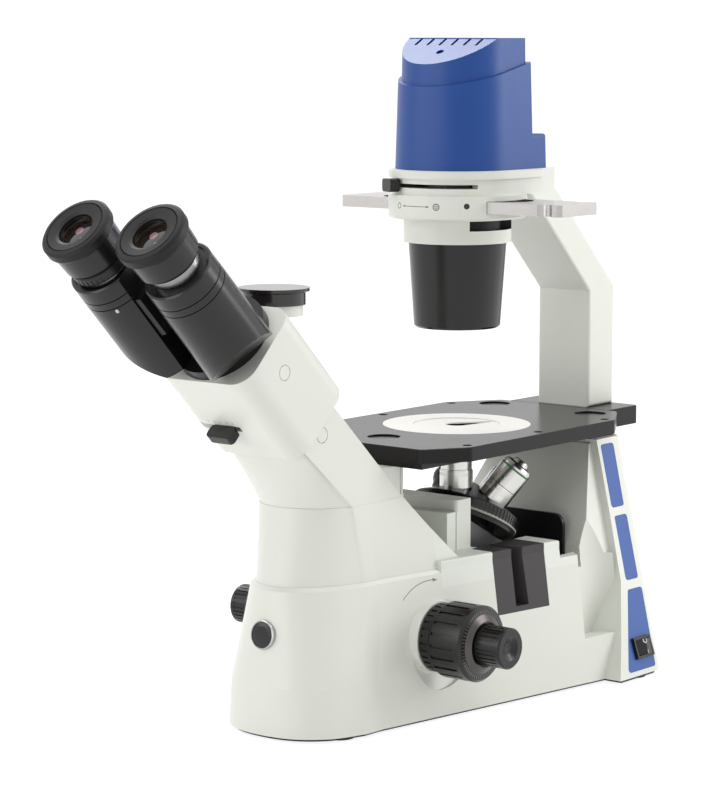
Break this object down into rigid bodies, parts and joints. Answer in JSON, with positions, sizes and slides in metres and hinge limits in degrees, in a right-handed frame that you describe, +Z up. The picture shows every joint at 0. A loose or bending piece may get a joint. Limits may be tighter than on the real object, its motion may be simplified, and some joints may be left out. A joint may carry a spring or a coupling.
{
  "type": "inverted microscope",
  "caption": "Inverted laboratory microscope with a trinocular head, fixed stage, tilted nosepiece below it, and a lamp with condenser held above it on a rear arm.",
  "frame": {"origin": "on the bench, straight below the vertical optical axis of the stage", "axes": "+X to the user's right, +Y away from the user, +Z up along the optical axis"},
  "size_m": [0.248, 0.5512, 0.479],
  "materials": {
    "body_paint": "fine off-white satin paint",
    "housing_plastic": "moulded off-white plastic",
    "black_metal": "black powder coat",
    "rubber": "matte",
    "badge": "dark plastic with a bright rim, blank",
    "black_plastic": "fine-textured black plastic",
    "black_satin": "satin black paint",
    "silver_ring": "turned and plated",
    "eyecup_rubber": "soft matte rubber",
    "lens_glass": "coated glass",
    "stage_black": "hard-anodised black, ground edges",
    "steel": "blackened steel",
    "insert_metal": "off-white plate",
    "slider_metal": "ground aluminium",
    "ring_glass": "dark coated glass",
    "lamp_blue": "blue moulded plastic",
    "heat_sink": "turned aluminium",
    "dark_plastic": "dark grey moulded plastic",
    "carriage_grey": "machined",
    "objective_chrome": "satin chrome",
    "mirror": "front-surface mirrors on blocks",
    "inlay_blue": "light blue plastic",
    "switch_black": "gloss"
  },
  "bodies": {
    "stand": {"base_casting": "body_paint", "base_plate": "black_metal", "rubber_feet": "rubber", "front_badge": "badge", "front_column": "body_paint", "observation_tube": "body_paint", "head_casting": "body_paint", "binocular_base": "black_metal", "stage_plate": "stage_black", "stage_plugs": "stage_black", "stage_screws": "steel", "stage_support": "body_paint", "stage_spacer": "stage_black", "arm_foot": "stage_black", "lamp_arm": "body_paint", "lamp_block": "body_paint", "aperture_ring": "body_paint", "condenser_collar": "body_paint", "condenser_cone": "black_satin", "lamp_housing": "lamp_blue", "lamp_socket": "heat_sink", "fixed_lenses": "lens_glass", "deck_housing": "housing_plastic", "trough_covers": "dark_plastic", "trough_shield": "black_metal", "guide_rods": "steel", "fold_mirrors": "mirror", "stand_inlays": "inlay_blue", "switch_bezel": "black_plastic", "mains_inlet": "black_plastic"},
    "stage_insert_body": {"stage_insert": "insert_metal", "insert_ring": "insert_metal"},
    "port_cap_body": {"port_cap": "black_plastic"},
    "light_path_body": {"light_path_knob": "black_plastic"},
    "right_eye": {"right_prism_housing": "black_satin", "right_eyetube": "silver_ring"},
    "right_eyepiece_body": {"right_eyepiece": "black_satin", "right_eyecup": "eyecup_rubber", "right_eye_lens": "lens_glass"},
    "left_eye": {"left_prism_housing": "black_satin", "left_eyetube": "silver_ring"},
    "diopter_body": {"diopter_ring": "black_metal"},
    "left_eyepiece_body": {"left_eyepiece": "black_satin", "left_eyecup": "eyecup_rubber", "left_eye_lens": "lens_glass"},
    "coarse_body": {"coarse_knobs": "black_plastic"},
    "fine_body": {"fine_knobs": "black_plastic"},
    "tension_body": {"tension_ring": "black_plastic"},
    "carriage": {"focus_carriage": "carriage_grey", "nosepiece_base": "black_metal"},
    "turret": {"nosepiece_turret": "black_metal", "objective_low": "objective_chrome", "objective_medium": "objective_chrome", "objective_high": "objective_chrome", "objective_scan": "black_satin"},
    "iris_body": {"iris_lever": "black_plastic"},
    "slider_body": {"phase_slider": "slider_metal", "phase_rings": "ring_glass"},
    "switch_body": {"power_switch": "switch_black"},
    "dial_body": {"brightness_dial": "black_plastic"}
  },
  "joints": [
    {"name": "stage_insert_lift", "type": "slide", "parent": "stand", "child": "stage_insert_body", "axis": [0, 0, 1], "range_m": [0, 0.012]},
    {"name": "port_cap_lift", "type": "slide", "parent": "stand", "child": "port_cap_body", "axis": [0, 0, 1], "range_m": [0, 0.02]},
    {"name": "light_path_pull", "type": "slide", "parent": "stand", "child": "light_path_body", "axis": [1, 0, 0], "range_m": [-0.012, 0]},
    {"name": "right_eye_swing", "type": "hinge", "parent": "stand", "child": "right_eye", "pos_m": [0, -0.26276, 0.28622], "axis": [0, -0.7071, 0.7071], "range_deg": [-16.5, 25]},
    {"name": "left_eye_swing", "type": "hinge", "parent": "stand", "child": "left_eye", "pos_m": [0, -0.26276, 0.28622], "axis": [0, -0.7071, 0.7071], "range_deg": [-25, 16.5]},
    {"name": "right_eyepiece_lift", "type": "slide", "parent": "right_eye", "child": "right_eyepiece_body", "axis": [0, -0.7071, 0.7071], "range_m": [0, 0.02]},
    {"name": "diopter_turn", "type": "hinge", "parent": "left_eye", "child": "diopter_body", "pos_m": [-0.0327, -0.33948, 0.33678], "axis": [0, -0.7071, 0.7071], "range_deg": [0, 300]},
    {"name": "diopter_travel", "type": "slide", "parent": "left_eye", "child": "left_eyepiece_body", "axis": [0, -0.7071, 0.7071], "range_m": [0, 0.004]},
    {"name": "coarse_focus", "type": "hinge", "parent": "stand", "child": "coarse_body", "pos_m": [0, -0.1, 0.0605], "axis": [1, 0, 0], "range_deg": [-66, 19]},
    {"name": "fine_focus", "type": "hinge", "parent": "stand", "child": "fine_body", "pos_m": [0, -0.1, 0.0605], "axis": [1, 0, 0], "continuous": true},
    {"name": "tension_adjust", "type": "hinge", "parent": "stand", "child": "tension_body", "pos_m": [0.066, -0.1, 0.0605], "axis": [1, 0, 0], "range_deg": [0, 60]},
    {"name": "focus_slide", "type": "slide", "parent": "stand", "child": "carriage", "axis": [0, 0, 1], "range_m": [-0.0069, 0.0019]},
    {"name": "nosepiece_turn", "type": "hinge", "parent": "carriage", "child": "turret", "pos_m": [0, 0.01766, 0.13961], "axis": [0, 0.4695, 0.8829], "continuous": true},
    {"name": "iris_swing", "type": "hinge", "parent": "stand", "child": "iris_body", "pos_m": [0, 0, 0.373], "axis": [0, 0, 1], "range_deg": [0, 78]},
    {"name": "phase_slide", "type": "slide", "parent": "stand", "child": "slider_body", "axis": [1, 0, 0], "range_m": [-0.045, 0.045]},
    {"name": "power_rocker", "type": "hinge", "parent": "stand", "child": "switch_body", "pos_m": [0.09731, 0.104, 0.023], "axis": [-0.317, 0, 0.9484], "range_deg": [0, 14]},
    {"name": "brightness_turn", "type": "hinge", "parent": "stand", "child": "dial_body", "pos_m": [-0.09731, 0.104, 0.023], "axis": [-0.9484, 0, 0.317], "range_deg": [0, 270]}
  ],
  "couplings": [
    {"joint": "coarse_focus", "follows": "focus_slide", "rad_per_m": 166.67},
    {"joint": "left_eye_swing", "follows": "right_eye_swing", "ratio": -1},
    {"joint": "diopter_turn", "follows": "diopter_travel", "rad_per_m": 1309}
  ]
}
